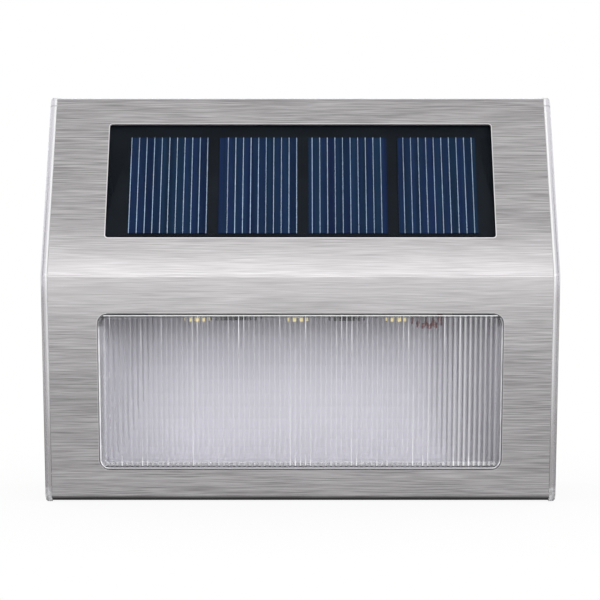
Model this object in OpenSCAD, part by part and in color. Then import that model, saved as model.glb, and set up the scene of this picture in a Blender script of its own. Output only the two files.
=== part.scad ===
// Solar step light: a clear moulded housing under a bent steel cover, with a solar module on the
// slope, a ribbed lens over a row of LEDs, and a screwed back cover that hangs on two keyholes.
// X runs across the light, -Y is the front, and +Z is up. The origin is the middle of the wall face.

/* [Body outline] */
// Overall width, over the two side walls
body_w = 118; // [112:1:130]
// Overall height
body_h = 93.4; // [91.5:0.1:104]
// Depth at the top edge
depth_top = 16.7; // [15:0.1:22]
// Depth at the bend between the slope and the front, the deepest place
depth_bend = 45.3; // [43:0.1:50]
// Depth at the base
depth_base = 36.6; // [35:0.1:40]
// Height of that bend above the base
bend_z = 53.2; // [51.5:0.1:55]
// Rounding of the outline's corners, on the side walls
corner_r = 2; // [1:0.25:3]
// Thickness of a side wall
side_wall = 1.5; // [1.2:0.1:2.2]
// Rounding of a side wall's outer edge
edge_r = 0.7; // [0.4:0.1:1]

/* [Steel cover] */
// Thickness of the steel sheet
sheet_t = 0.5; // [0.4:0.1:0.8]
// How far the side walls stand proud of the sheet
proud = 0.3; // [0.2:0.1:0.6]
// Gap between the sheet's edge and a side wall
sheet_gap = 0.1; // [0.05:0.05:0.3]
// Outside radius of the sheet's bends
bend_r = 1.4; // [1.2:0.1:2]
// Thickness of the double-sided tape under the sheet
tape_t = 0.3; // [0.2:0.1:0.5]

/* [Housing] */
// Thickness of the housing's skin under the steel
skin_t = 1.6; // [1.2:0.1:2]
// Depth of the raised rim round the open back
rim_t = 2.2; // [1.8:0.1:3]
// Width of the ledge that carries the seal
ledge_w = 2.2; // [1.8:0.1:2.8]
// Thickness of that ledge
ledge_t = 1.5; // [1.2:0.1:2]
// Radius of a screw boss
boss_r = 3; // [2.6:0.1:3.4]
// Length of a screw boss
boss_len = 9.5; // [8.5:0.5:10.5]
// Screw boss centre, in from a side wall's inner face
boss_in_x = 6.5; // [5.5:0.25:7.5]
// Screw boss centre, in from the top or the base skin's inner face
boss_in_z = 5.6; // [5:0.2:6.4]

/* [Solar module] */
// Width of the window in the steel over the solar module
solar_win_w = 89.5; // [84:0.5:92]
// Height of that window, along the slope
solar_win_h = 31.7; // [29.5:0.1:32.5]
// Window's upper edge, down the slope from the top
solar_win_drop = 7.4; // [7:0.1:8.5]
// Corner radius of that window
solar_win_r = 0.7; // [0.3:0.1:1.5]
// How far the module reaches under the steel, all round
module_lap = 2; // [1.5:0.1:2.4]
// Thickness of the module's backing board
module_t = 1.2; // [0.8:0.1:1.6]
// Thickness of the clear resin over the board
glaze_t = 0.7; // [0.5:0.1:1]
// Thickness of the foam tape under the board
foam_t = 0.5; // [0.3:0.1:0.8]
// Width of the foam tape
foam_w = 5; // [4:0.5:7]
// Number of solar cells
cell_count = 4; // [3:1:5]
// Width of one cell
cell_w = 18.2; // [15:0.1:18.6]
// Height of one cell
cell_h = 26.7; // [24:0.1:28]
// Distance from one cell's centre to the next
cell_pitch = 20.8; // [19.5:0.05:21.2]
// Thickness of a cell
cell_t = 0.25; // [0.2:0.05:0.35]
// Distance from one printed finger to the next
finger_pitch = 1.78; // [1.5:0.01:2.2]
// Width of a printed finger
finger_w = 0.35; // [0.2:0.05:0.5]

/* [Lens and reflector] */
// Width of the window in the steel round the lens
lens_win_w = 92.8; // [86:0.2:94]
// Height of that window, along the front
lens_win_h = 37.2; // [35:0.2:38]
// Window's lower edge, up the front from the base
lens_win_up = 7.6; // [6.9:0.1:8.2]
// Corner radius of that window
lens_win_r = 2.5; // [1.8:0.1:3.2]
// Gap round the lens in the window
lens_gap = 0.25; // [0.15:0.05:0.4]
// Thickness of the lens's face and of its flange
lens_t = 1.4; // [1.2:0.1:1.8]
// Thickness of the lens's wall round its hollow
lens_wall = 0.8; // [0.7:0.1:1.2]
// How far the lens flange reaches behind the skin
lens_lap = 2.6; // [2:0.1:3]
// Distance from one lens rib to the next
rib_pitch = 1.175; // [1:0.025:1.6]
// Height of a lens rib
rib_h = 0.2; // [0.15:0.05:0.45]
// Plain border between the ribs and the edge of the lens
rib_border = 0.45; // [0.4:0.05:1.2]
// Depth of the reflector behind the lens
reflector_depth = 16.5; // [13:0.5:17.5]
// Wall thickness of the reflector
reflector_t = 1.2; // [1:0.1:1.5]
// How far each end of the reflector leans in, from the lens to its deepest place
end_lean = 6; // [2:0.5:10]

/* [LED board] */
// Distance from one LED to the next
led_pitch = 23; // [20:0.5:24]
// Length of the LED board
board_w = 70; // [62:1:71]
// Thickness of the LED board
board_t = 1; // [0.8:0.1:1.6]
// Underside of the board below the top of the lens window
board_drop = 2.1; // [2:0.1:4]
// Gap between the board's front edge and the lens, which lets a lead pass
board_setback = 2; // [1.8:0.1:2.6]
// Width of an LED along the board
led_w = 3.5; // [3:0.1:5]
// Height of an LED, without its phosphor
led_h = 0.35; // [0.3:0.05:1.2]

/* [Battery] */
// Diameter of the cell over its sleeve
battery_d = 14.4; // [13.5:0.1:14.8]
// Length of the cell without its nub
battery_len = 49.2; // [44:0.2:50]
// Height of the cell's nub
nub_len = 1.3; // [0.8:0.1:1.6]
// Room for the spring contact between the cell and the holder's end
spring_room = 4.6; // [4:0.1:6]
// Room for the plate contact between the nub and the holder's other end
plate_room = 1; // [0.8:0.1:1.5]
// Wall thickness of the battery holder
holder_t = 1.4; // [1.1:0.1:1.8]
// Cell's axis below the inside of the top skin
battery_drop = 18.5; // [12:0.5:20]
// Wire diameter of the spring contact
spring_d = 0.6; // [0.5:0.1:0.8]

/* [Back cover] */
// Thickness of the back cover
plate_t = 2; // [1.8:0.1:2.4]
// Gap round the back cover in the housing
plate_gap = 0.3; // [0.2:0.05:0.5]
// Thickness of the seal, squeezed
seal_t = 0.8; // [0.6:0.1:1.2]
// Distance between the two keyholes
keyhole_span = 76; // [74:1:80]
// Keyhole's round end below the inside of the top skin
keyhole_drop = 30; // [27:0.5:32]
// Radius of a keyhole's round end, which passes a screw head
keyhole_r = 4.2; // [3.8:0.1:4.6]
// Radius of a keyhole's slot, which holds the screw shank
slot_r = 2.3; // [2.1:0.1:2.6]
// Distance from the round end's centre to the slot's end
slot_len = 8; // [7:0.5:9]
// Depth of the pocket behind a keyhole
pocket_d = 5.5; // [4.5:0.5:6.5]

/* [Switch] */
// Height of the slide switch above the base
switch_z = 24; // [20:0.5:30]
// Travel of the switch's knob
switch_travel = 2.5; // [1.5:0.1:3]
// Width of the knob along its travel
knob_w = 3.6; // [3:0.1:4.2]
// Height of the knob across its travel
knob_h = 3; // [2.4:0.1:3.6]

/* [Leads] */
// Outer diameter of an insulated lead
lead_d = 1.3; // [1:0.1:1.5]

/* [Hidden] */
$fn = 48;
cut = 1;          // overshoot of every cut
arc_steps = 6;    // flats round a bend or a corner
fit = 0.1;        // running gap between loose fitted pieces
sink = 0.5;       // how far a fused form reaches into what carries it
slice = 0.01;     // thickness of a slice that a hull joins

// Outline of a side wall as (y, z) points, clockwise from the foot of the wall face
outline = [[0, 0], [-depth_base, 0], [-depth_bend, bend_z], [-depth_top, body_h], [0, body_h]];
slope_a = atan2(body_h - bend_z, depth_bend - depth_top);
front_a = atan2(bend_z, depth_base - depth_bend);
slope_len = norm(outline[3] - outline[2]);

// Depths below the outline, measured inwards
sheet_in = proud + sheet_t;
skin_out = sheet_in + tape_t;
skin_in = skin_out + skin_t;
inner_x = body_w / 2 - side_wall;
sheet_w = 2 * (inner_x - sheet_gap);

// Solar module, stacked from its face inwards
glaze_top = sheet_in + 0.05;
board_top = glaze_top + glaze_t;
board_back = board_top + module_t;
pocket_floor = board_back + foam_t;
floor_t = 1.2;
tray_wall = 1.5;
solar_mid = slope_len - solar_win_drop - solar_win_h / 2;
module_w = solar_win_w + 2 * module_lap;
module_h = solar_win_h + 2 * module_lap;
finger_t = 0.05;
cell_shift = 0.6;                       // the row of cells sits a little to the right
cell_drop = 0.7;                        // and a little low in the window
first_finger = [0.2, 2, 0.83, 1.3];    // each cell is cut from the wafer at its own place
lead_hole_gap = 0.7;
lead_hole_r = lead_d / 2 + lead_hole_gap;
lead_pad_gap = 0.2;
lead_pad_depth = 0.6;
lead_end = 0.25;        // a lead stops this far from the face it is soldered to
solar_lead_x = module_w / 2 - foam_w - 2 * lead_hole_r;
solar_lead_low = 5;
solar_lead_step = 6;
solar_lead_u = [solar_mid - solar_lead_low, solar_mid - solar_lead_low + solar_lead_step];

// Lens, from its ribs inwards
lens_w = lens_win_w - 2 * lens_gap;
lens_h = lens_win_h - 2 * lens_gap;
lens_r = lens_win_r - lens_gap;
lens_mid = lens_win_up + lens_win_h / 2;
lens_sunk = 0.1;        // rib tops below the side walls' edge, past the proud step
lens_face = proud + lens_sunk + rib_h;
lens_back = skin_in + lens_t;
rib_count = floor((lens_w - 2 * rib_border) / rib_pitch);
rib_steps = 6;
rib_root = 0.4;
rib_sink = 0.1;

// Reflector and LED board, as (distance up the front, depth) places
board_u = lens_win_up + lens_win_h - board_drop;
reflector_front = lens_back;
reflector_back = reflector_front + reflector_depth;
reflector_u0 = lens_mid - lens_h / 2 + lens_wall;
reflector_top = board_u + board_t + reflector_t;
reflector_w = lens_w - 2 * lens_wall;
reflector_steps = 14;
tray_top = board_u - fit;
roof_top = board_u + board_t;
brow_top = lens_mid + (lens_h + lens_lap) / 2;
lean_slope = end_lean / reflector_depth;
board_front = reflector_front + board_setback;
board_depth = reflector_back - fit - board_front;
board_screw_in = [3.5, 3.2];
board_screw_x = board_w / 2 - board_screw_in.x;
board_screw_n = reflector_back - board_screw_in.y;
board_screw_r = 0.8;
board_screw_len = 4.6;
board_screw_head = [1.6, 0.9];
board_boss = [2.3, 5];
board_tab_w = 7;
board_edge = 0.3;       // what stands on the board keeps this far from its front edge
led_depth = 2.8;
led_shift = -0.7;       // the row of LEDs sits a little to the left
led_n = board_front + board_edge + led_depth / 2;
phosphor_h = 0.9;
phosphor_r = 1.2;
chip_x = -15.2;
chip_size = [8.7, 1.1, 3.9];
chip_leg = [0.4, 0.6, 1];
chip_n = board_front + board_edge + chip_leg.z - 0.25 + chip_size.z / 2;
coil_x = 10.6;
coil_size = [5.8, 1.1, 5];
coil_n = board_front + board_edge + coil_size.z / 2;

// Back opening and what screws into it
opening_z0 = skin_in;
opening_z1 = body_h - skin_in;
opening_h = opening_z1 - opening_z0;
mid_z = body_h / 2;
ledge_y = plate_t + seal_t;
plate_w = 2 * (inner_x - plate_gap);
plate_h = opening_h - 2 * plate_gap;
boss_x = inner_x - boss_in_x;
boss_z = [opening_z0 + boss_in_z, opening_z1 - boss_in_z];
web_t = 1.6;
pilot_r = 1.1;
thread_fit = 0.05;
screw_r = pilot_r - thread_fit;
screw_grip = 6.5;
head_r = 2.3;
head_t = 1;
head_gap = 0.4;
lip_t = 1.2;

// Keyhole pockets, switch and battery
keyhole_z = opening_z1 - keyhole_drop;
battery_z = opening_z1 - battery_drop;
pocket_r = keyhole_r + 1;
pocket_wall = 1.2;
well = [16, 8.6];
well_r = 1;
knob_gap = [0.4, 0.3];
switch_screw_r = 0.7;
switch_screw_head = [1.5, 0.9];
well_floor = 3.4;
well_wall = 1.1;
well_back = well_floor + well_wall;
frame_t = 0.5;
slider = [5.2, 4.2, 1.4];
slider_room = 1.9;
frame_size = [slider.x + switch_travel + slider_room + 2 * frame_t, 6.2, 4];
ear_span = 15;
ear_w = 19.6;
base_t = 1;
pin_pitch = 3;
pin_size = [1.2, 0.5];
pin_len = 3.6;
holder_len = battery_len + nub_len + spring_room + plate_room + 2 * holder_t;
holder_side_gap = 0.5;
holder_floor_gap = 0.2;
holder_w = battery_d + 2 * holder_side_gap + 2 * holder_t;
holder_d = 12.5;
holder_open_w = 0.55;   // share of the holder's length where its sides are low
holder_low = 5;
battery_y = plate_t + holder_t + holder_floor_gap + battery_d / 2;
battery_x = -holder_len / 2 + holder_t + spring_room;
nub_r = 2.7;
slit_drop = 2.2;
contact_t = 0.3;
contact_size = [8, 9];
tail_len = 3;
tail_w = 2;

// Places on the slope and the front, from (across, up, outwards) to (x, y, z)
function slope_pt(p) = [
    p.x, -depth_bend + p.y * cos(slope_a) - p.z * sin(slope_a),
    bend_z + p.y * sin(slope_a) + p.z * cos(slope_a)
];
function front_pt(p) = [
    p.x, -depth_base + p.y * cos(front_a) - p.z * sin(front_a),
    p.y * sin(front_a) + p.z * cos(front_a)
];

// Routes of the leads: hand-set points between ends that belong to the pieces they join
tail_x = holder_len / 2 + tail_len - 1;
tail_z = battery_z - slit_drop - contact_t / 2 - lead_end;
pin_y = -(well_back + frame_size.z + pin_len) - lead_end;
board_end = board_u + board_t + lead_end;
led_end = board_u - lead_end;
solar_red_route = concat(
    [slope_pt([solar_lead_x, solar_lead_u[0], -board_back - lead_end]),
     slope_pt([solar_lead_x, solar_lead_u[0], -pocket_floor - floor_t - 2])],
    [[38, -24, 58], [30, -27, 56.5], [22, -31, 53.5]],
    [front_pt([20, board_end + 2, -board_front - 6]), front_pt([20, board_end, -board_front - 6])]
);
solar_black_route = concat(
    [slope_pt([solar_lead_x, solar_lead_u[1], -board_back - lead_end]),
     slope_pt([solar_lead_x, solar_lead_u[1], -pocket_floor - floor_t - 2])],
    [[35, -19.5, 59], [25, -23, 56]],
    [front_pt([15, board_end + 6, -board_front - 7]), front_pt([13, board_end + 2, -board_front - 6]),
     front_pt([13, board_end, -board_front - 6])]
);
battery_red_route = concat(
    [[tail_x, -battery_y, tail_z], [tail_x, -battery_y, tail_z - 2]],
    [[30, -13, 60], [29, -14, 52], [18, -14.5, 40], [8, -15, 31]],
    [[pin_pitch, pin_y - 3, switch_z], [pin_pitch, pin_y, switch_z]]
);
battery_black_route = concat(
    [[-tail_x, -battery_y, tail_z], [-tail_x, -battery_y, tail_z - 2]],
    [[-30, -14, 61], [-30, -19, 54]],
    [front_pt([-26, board_end + 7, -board_front - 7]),
     front_pt([-24, board_end + 2, -board_front - 6]),
     front_pt([-24, board_end, -board_front - 6])]
);
lead_gap_n = (lens_back + board_front) / 2;
lead_drop_x = board_w / 2 - 3;
lead_pad_x = led_pitch + led_w / 2 + 2.4;
lead_back_n = reflector_back + reflector_t + 1.4;
switch_red_route = concat(
    [[0, pin_y, switch_z], [0, pin_y - 3, switch_z]],
    [front_pt([-1, 25, -lead_back_n + 2]), front_pt([4, 34, -lead_back_n]),
     front_pt([14, board_end, -lead_back_n]), front_pt([22, board_end + 5, -lead_back_n + 2]),
     front_pt([lead_drop_x - 5, board_end + 5, -board_front - 5]),
     front_pt([lead_drop_x - 1, board_end + 2.5, -board_front - 1.5]),
     front_pt([lead_drop_x, board_u + board_t, -lead_gap_n]),
     front_pt([lead_drop_x - 0.5, board_u - 0.8, -lead_gap_n]),
     front_pt([lead_drop_x - 2, board_u - 2, -lead_gap_n - 0.5]),
     front_pt([lead_pad_x + 1.2, board_u - 2, -lead_gap_n - 1.5]),
     front_pt([lead_pad_x, led_end - 1, -board_front - 1.6]),
     front_pt([lead_pad_x, led_end, -board_front - 1.6])]
);

// Vector and outline helpers. Outlines run clockwise, so the inside is on the right.
function unit(v) = v / norm(v);
function right_of(v) = [v.y, -v.x];
function next(p, i) = p[(i + 1) % len(p)];
function prev(p, i) = p[(i + len(p) - 1) % len(p)];
function meet(a, u, b, v) = a + u * cross(b - a, v) / cross(u, v);
function inset(p, d) = [
    for (i = [0 : len(p) - 1])
        let (u = unit(p[i] - prev(p, i)), v = unit(next(p, i) - p[i]))
        meet(p[i] + right_of(u) * prev(d, i), u, p[i] + right_of(v) * d[i], v)
];
function rounded(p, r) = [
    for (i = [0 : len(p) - 1])
        let (
            u = unit(p[i] - prev(p, i)), v = unit(next(p, i) - p[i]),
            turn = atan2(cross(u, v), u * v),
            start = p[i] - u * r[i] * tan(abs(turn) / 2),
            centre = start + right_of(u) * r[i],
            from = atan2(-right_of(u).y, -right_of(u).x)
        )
        each r[i] <= 0 ? [p[i]]
            : [for (k = [0 : arc_steps])
                centre + r[i] * [cos(from + turn * k / arc_steps), sin(from + turn * k / arc_steps)]]
];

// A smooth line through hand-set points, with "steps" pieces between each two
function spline_at(a, b, c, d, t) =
    0.5 * ((2 * b) + (c - a) * t + (2 * a - 5 * b + 4 * c - d) * t * t + (3 * b - a - 3 * c + d) * t ^ 3);
function smooth(p, steps) = [
    for (i = [0 : len(p) - 2], k = [0 : steps - (i == len(p) - 2 ? 0 : 1)])
        spline_at(p[max(i - 1, 0)], p[i], p[i + 1], p[min(i + 2, len(p) - 1)], k / steps)
];
function along(p, i) = unit(p[min(i + 1, len(p) - 1)] - p[max(i - 1, 0)]);
function square_to(v, t) = unit(v - t * (v * t));
function frames(p, n0) = [
    for (i = 0, n = square_to(n0, along(p, 0)); i < len(p);
         i = i + 1, n = i < len(p) ? square_to(n, along(p, i)) : n) n
];
function tube_points(p, r, sides, n0) =
    let (n = frames(p, n0))
    [for (i = [0 : len(p) - 1], k = [0 : sides - 1])
        let (t = along(p, i), b = cross(t, n[i]), a = 360 * k / sides)
        p[i] + r * (n[i] * cos(a) + b * sin(a))];

module tube(p, r, sides, n0) {
    last = len(p) - 1;
    polyhedron(
        points = tube_points(p, r, sides, n0),
        faces = concat(
            [[for (k = [0 : sides - 1]) k]],
            [for (i = [0 : last - 1], k = [0 : sides - 1])
                [i * sides + k, (i + 1) * sides + k, i * sides + (k + 1) % sides]],
            [for (i = [0 : last - 1], k = [0 : sides - 1])
                [i * sides + (k + 1) % sides, (i + 1) * sides + k, (i + 1) * sides + (k + 1) % sides]],
            [[for (k = [sides - 1 : -1 : 0]) last * sides + k]]
        )
    );
}

// Moves the working frame, whose zero is the foot of the wall face, so that the origin is mid-wall
module placed() translate([0, 0, -mid_z]) children();

// Local frames: X across, Y up the face, Z outwards, from the face's lower corner
module on_slope() translate([0, -depth_bend, bend_z]) rotate([slope_a, 0, 0]) children();
module on_front() translate([0, -depth_base, 0]) rotate([front_a, 0, 0]) children();

// Extrudes a (y, z) shape across the light
module across(w) rotate([90, 0, 90]) linear_extrude(height = w, center = true) children();

// Extrudes an (x, z) shape forwards from a depth behind the wall face
module layer(depth, t) translate([0, -depth, 0]) rotate([90, 0, 0]) linear_extrude(height = t) children();

// Extrudes a shape on a face's local frame, from one depth to a deeper one
module sunk(from, to) translate([0, 0, -to]) linear_extrude(height = to - from) children();

module plate_2d(w, h, r) {
    square([w - 2 * r, h], center = true);
    square([w, h - 2 * r], center = true);
    for (x = [-1, 1], y = [-1, 1]) translate([x * (w / 2 - r), y * (h / 2 - r)]) circle(r);
}

module slot_2d(r, length) {
    circle(r);
    translate([0, length]) circle(r);
    translate([-r, 0]) square([2 * r, length]);
}

module body_2d(d, r, behind = 0) polygon(rounded(inset(outline, [d, d, d, d, -behind]), [0, r, r, r, 0]));

module side_wall_solid() {
    slices = 3;
    hull() for (k = [0 : slices]) {
        a = 90 * k / slices;
        d = edge_r * (1 - cos(a));
        translate([body_w / 2 - edge_r + edge_r * sin(a) - (k == slices ? slice : 0), 0, 0])
            rotate([90, 0, 90]) linear_extrude(height = slice) body_2d(d, corner_r - d / 2);
    }
    translate([body_w / 2 - side_wall, 0, 0])
        rotate([90, 0, 90]) linear_extrude(height = side_wall - edge_r) body_2d(0, corner_r);
}

module boss(z) {
    web = z < mid_z ? opening_z0 : opening_z1;
    layer(ledge_y, boss_len) {
        translate([boss_x, z]) circle(boss_r);
        translate([boss_x, z - web_t / 2]) square([inner_x - boss_x + sink, web_t]);
        translate([boss_x - web_t / 2, min(z, web) - sink]) square([web_t, abs(web - z) + 2 * sink]);
    }
}

module front_housing() {
    color([0.9, 0.92, 0.95, 0.5]) placed() difference() {
        union() {
            for (side = [0, 1]) mirror([side, 0, 0]) {
                side_wall_solid();
                for (z = boss_z) boss(z);
            }
            across(2 * inner_x + sink) {
                difference() {
                    body_2d(skin_out, bend_r - sheet_t - tape_t);
                    body_2d(skin_in, 0, cut);
                }
                difference() {
                    intersection() {
                        body_2d(0, corner_r);
                        translate([-rim_t, 0]) square([rim_t, body_h]);
                    }
                    body_2d(skin_in, 0, cut);
                }
            }
            layer(ledge_y, ledge_t) difference() {
                translate([0, mid_z]) square([2 * inner_x + sink, opening_h + sink], center = true);
                translate([0, mid_z])
                    square([2 * (inner_x - ledge_w), opening_h - 2 * ledge_w], center = true);
            }
            on_slope() translate([0, solar_mid, 0]) sunk(skin_in - sink, pocket_floor + floor_t)
                square([module_w + 2 * tray_wall, module_h + 2 * tray_wall], center = true);
        }
        on_slope() {
            translate([0, solar_mid, 0]) sunk(-cut, pocket_floor)
                square([module_w + 2 * fit, module_h + 2 * fit], center = true);
            for (u = solar_lead_u) translate([solar_lead_x, u, 0]) sunk(0, pocket_floor + floor_t + cut)
                circle(lead_hole_r);
        }
        on_front() translate([0, lens_mid, 0]) sunk(-cut, skin_in + cut)
            plate_2d(lens_win_w - lens_gap, lens_win_h - lens_gap, lens_r);
        for (x = [-boss_x, boss_x], z = boss_z)
            translate([x, -ledge_y + cut, z]) rotate([90, 0, 0]) cylinder(r = pilot_r, h = boss_len);
    }
}

module steel_cover() {
    color("silver") placed() difference() {
        across(sheet_w) difference() {
            body_2d(proud, bend_r, -rim_t - fit);
            body_2d(sheet_in, bend_r - sheet_t, cut);
        }
        on_slope() translate([0, solar_mid, 0]) sunk(-cut, sheet_in + cut)
            plate_2d(solar_win_w, solar_win_h, solar_win_r);
        on_front() translate([0, lens_mid, 0]) sunk(-cut, sheet_in + cut)
            plate_2d(lens_win_w, lens_win_h, lens_win_r);
    }
}

module cover_tape() {
    slope_strip = 3;
    slope_end = 2;          // the tape stops this far from the bends at the slope's ends
    front_strip = [4.5, 3];
    inner = 0.3;
    color("white") placed() {
        on_slope() sunk(sheet_in, skin_out) difference() {
            translate([0, slope_len / 2])
                square([module_w + 2 * slope_strip, slope_len - 2 * slope_end], center = true);
            translate([0, solar_mid])
                square([module_w + 2 * inner, module_h + 2 * inner], center = true);
        }
        on_front() translate([0, lens_mid, 0]) sunk(sheet_in, skin_out) difference() {
            plate_2d(lens_win_w + 2 * front_strip.x, lens_win_h + 2 * front_strip.y, lens_win_r);
            plate_2d(lens_win_w + 2 * inner, lens_win_h + 2 * inner, lens_win_r);
        }
    }
}

module lens_ribs() {
    w = rib_count * rib_pitch;
    reach = lens_h - 2 * rib_border + 2 * rib_sink;
    translate([0, reach / 2, 0]) rotate([90, 0, 0]) linear_extrude(height = reach) polygon(concat(
        [[w / 2, -lens_face - rib_root], [-w / 2, -lens_face - rib_root]],
        [for (i = [0 : rib_count - 1], k = [0 : rib_steps - (i == rib_count - 1 ? 0 : 1)])
            [-w / 2 + (i + k / rib_steps) * rib_pitch, -lens_face + rib_h * sin(180 * k / rib_steps)]]
    ));
}

module lens() {
    color([0.85, 0.87, 0.92, 0.5]) placed() on_front() translate([0, lens_mid, 0]) {
        difference() {
            union() {
                sunk(lens_face, lens_back) plate_2d(lens_w, lens_h, lens_r);
                sunk(skin_in, lens_back) plate_2d(lens_w + 2 * lens_lap, lens_h + 2 * lens_lap, lens_r);
                sunk(lens_face - rib_h, lens_face + sink) difference() {
                    plate_2d(lens_w, lens_h, lens_r);
                    plate_2d(lens_w - 2 * rib_border, lens_h - 2 * rib_border, lens_r - rib_border / 2);
                }
            }
            sunk(lens_face + lens_t, lens_back + cut)
                plate_2d(lens_w - 2 * lens_wall, lens_h - 2 * lens_wall, lens_r - lens_wall / 2);
        }
        lens_ribs();
    }
}

// Section of the reflector's cove, a quarter ellipse from the lens foot up to the LED board
function cove(d) = [
    for (k = [0 : reflector_steps])
        let (a = 90 * k / reflector_steps)
        [tray_top - (tray_top - reflector_u0 + d) * cos(a), -reflector_front - (reflector_depth + d) * sin(a)]
];

// Section of the reflector's roof and brow, which close the top beside the LED board
function roof() = [
    [tray_top - sink, -reflector_front], [brow_top, -reflector_front],
    [brow_top, -reflector_front - reflector_t], [roof_top, -reflector_front - reflector_t],
    [roof_top, -reflector_back - reflector_t], [tray_top - sink, -reflector_back - reflector_t]
];

// A section run across the light, whose ends lean in with depth and stand d outside the hollow
module leaning(section, d) {
    half = reflector_w / 2 + d * norm([1, lean_slope]);
    deep = reflector_depth + d + cut;
    intersection() {
        across(2 * lens_w) polygon(section);
        rotate([-90, 0, 0]) linear_extrude(height = body_h) polygon([
            for (side = [-1, 1], n = side < 0 ? [deep, -cut] : [-cut, deep])
                [side * (half - n * lean_slope), reflector_front + n]
        ]);
    }
}

module reflector() {
    lip_side = 1;
    lip_w = board_w + 2 * lip_side;
    bore_len = board_t + board_boss.y - 0.5;
    color("gainsboro") placed() on_front() difference() {
        union() {
            leaning(concat(cove(reflector_t), [[tray_top, -reflector_front]]), reflector_t);
            difference() {
                leaning(roof(), reflector_t);
                translate([-board_w / 2 - fit, 0, -reflector_back - reflector_t - cut])
                    cube([board_w + 2 * fit, body_h, reflector_depth + reflector_t + 2 * cut]);
            }
            translate([0, reflector_u0 - lens_lap / 2 - reflector_t / 2, 0])
                sunk(reflector_front, reflector_front + reflector_t)
                square([reflector_w, lens_lap], center = true);
            translate([0, (board_u + reflector_top) / 2 - reflector_t / 2, 0])
                sunk(reflector_back, reflector_back + reflector_t)
                square([lip_w, reflector_top - board_u + reflector_t], center = true);
            for (side = [-1, 1]) {
                translate([side * board_screw_x, reflector_top - reflector_t / 2, 0])
                    sunk(board_screw_n - board_screw_in.y, reflector_back + reflector_t)
                    square([board_tab_w, reflector_t], center = true);
                translate([side * board_screw_x, reflector_top - reflector_t, -board_screw_n])
                    rotate([-90, 0, 0]) cylinder(r = board_boss.x, h = board_boss.y);
            }
        }
        leaning(concat(
            [[reflector_u0, cut - reflector_front]], cove(0),
            [[board_u, -reflector_back], [board_u, cut - reflector_front]]
        ), 0);
        for (side = [-1, 1]) translate([side * board_screw_x, board_u, -board_screw_n])
            rotate([-90, 0, 0]) cylinder(r = board_screw_r + thread_fit, h = bore_len);
    }
}

module solar_board() {
    color([0.04, 0.05, 0.06]) placed() on_slope() translate([0, solar_mid, 0]) difference() {
        sunk(board_top, board_back) square([module_w, module_h], center = true);
        for (u = solar_lead_u) translate([solar_lead_x, u - solar_mid, 0])
            sunk(board_top + lead_pad_depth, board_back + cut) circle(lead_d / 2 + lead_pad_gap);
    }
}

module cells_2d() {
    for (i = [0 : cell_count - 1])
        translate([cell_shift + (i - (cell_count - 1) / 2) * cell_pitch, 0])
        square([cell_w, cell_h], center = true);
}

module solar_cells() {
    color([0.1, 0.17, 0.33]) placed() on_slope() translate([0, solar_mid - cell_drop, 0])
        sunk(board_top - cell_t, board_top) cells_2d();
}

module cell_fingers() {
    color("lightsteelblue") placed() on_slope() translate([0, solar_mid - cell_drop, 0])
        sunk(board_top - cell_t - finger_t, board_top - cell_t)
        for (i = [0 : cell_count - 1]) {
            start = first_finger[i % len(first_finger)];
            left = cell_shift + (i - (cell_count - 1) / 2) * cell_pitch - cell_w / 2 + start;
            count = 1 + floor((cell_w - start - finger_w / 2) / finger_pitch);
            for (k = [0 : count - 1])
                translate([left + k * finger_pitch, 0]) square([finger_w, cell_h], center = true);
        }
}

module solar_glaze() {
    color([0.2, 0.22, 0.26, 0.3]) placed() on_slope() translate([0, solar_mid, 0]) difference() {
        sunk(glaze_top, board_top) square([module_w, module_h], center = true);
        translate([0, -cell_drop, 0]) sunk(board_top - cell_t - finger_t, board_top + cut) cells_2d();
    }
}

module solar_tape() {
    color("dimgray") placed() on_slope() translate([0, solar_mid, 0])
        sunk(board_back, pocket_floor) difference() {
            square([module_w - 0.6, module_h - 0.6], center = true);
            square([module_w - 2 * foam_w, module_h - 2 * foam_w], center = true);
        }
}

module led_board() {
    color("whitesmoke") placed() on_front() difference() {
        translate([-board_w / 2, board_u, -board_front - board_depth])
            cube([board_w, board_t, board_depth]);
        for (side = [-1, 1]) translate([side * board_screw_x, board_u - cut, -board_screw_n])
            rotate([-90, 0, 0]) cylinder(r = board_screw_r + 2 * fit, h = board_t + 2 * cut);
    }
}

module led(place) {
    color("white") placed() on_front()
        translate([led_shift + place * led_pitch - led_w / 2, board_u - led_h, -led_n - led_depth / 2])
        cube([led_w, led_h, led_depth]);
}

module led_left() led(-1);
module led_centre() led(0);
module led_right() led(1);

module led_phosphor() {
    color("gold") placed() on_front() for (place = [-1, 0, 1])
        translate([led_shift + place * led_pitch, board_u - led_h, -led_n])
        rotate([90, 0, 0]) cylinder(r = phosphor_r, h = phosphor_h);
}

// A flat chip under the board, with a row of bent legs along each side
module driver_chip() {
    pin_step = 1.27;
    pins = 7;
    leg = chip_leg;
    lift = 0.1;
    leg_t = 0.2;
    color("dimgray") placed() on_front() translate([chip_x, board_u, -chip_n]) {
        translate([-chip_size.x / 2, -chip_size.y, -chip_size.z / 2])
            cube([chip_size.x, chip_size.y - lift, chip_size.z]);
        for (k = [0 : pins - 1], side = [-1, 1])
            translate([(k - (pins - 1) / 2) * pin_step - leg.x / 2, 0, side * (chip_size.z + leg.z) / 2]) {
                translate([0, -leg_t, -leg.z / 2]) cube([leg.x, leg_t, leg.z]);
                translate([0, -leg.y, side * -leg.z / 4 - leg.z / 2]) cube([leg.x, leg.y, leg.z / 2]);
                translate([0, -leg.y, side * -leg.z / 2 - leg.z / 4]) cube([leg.x, leg_t, leg.z / 2]);
            }
    }
}

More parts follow.
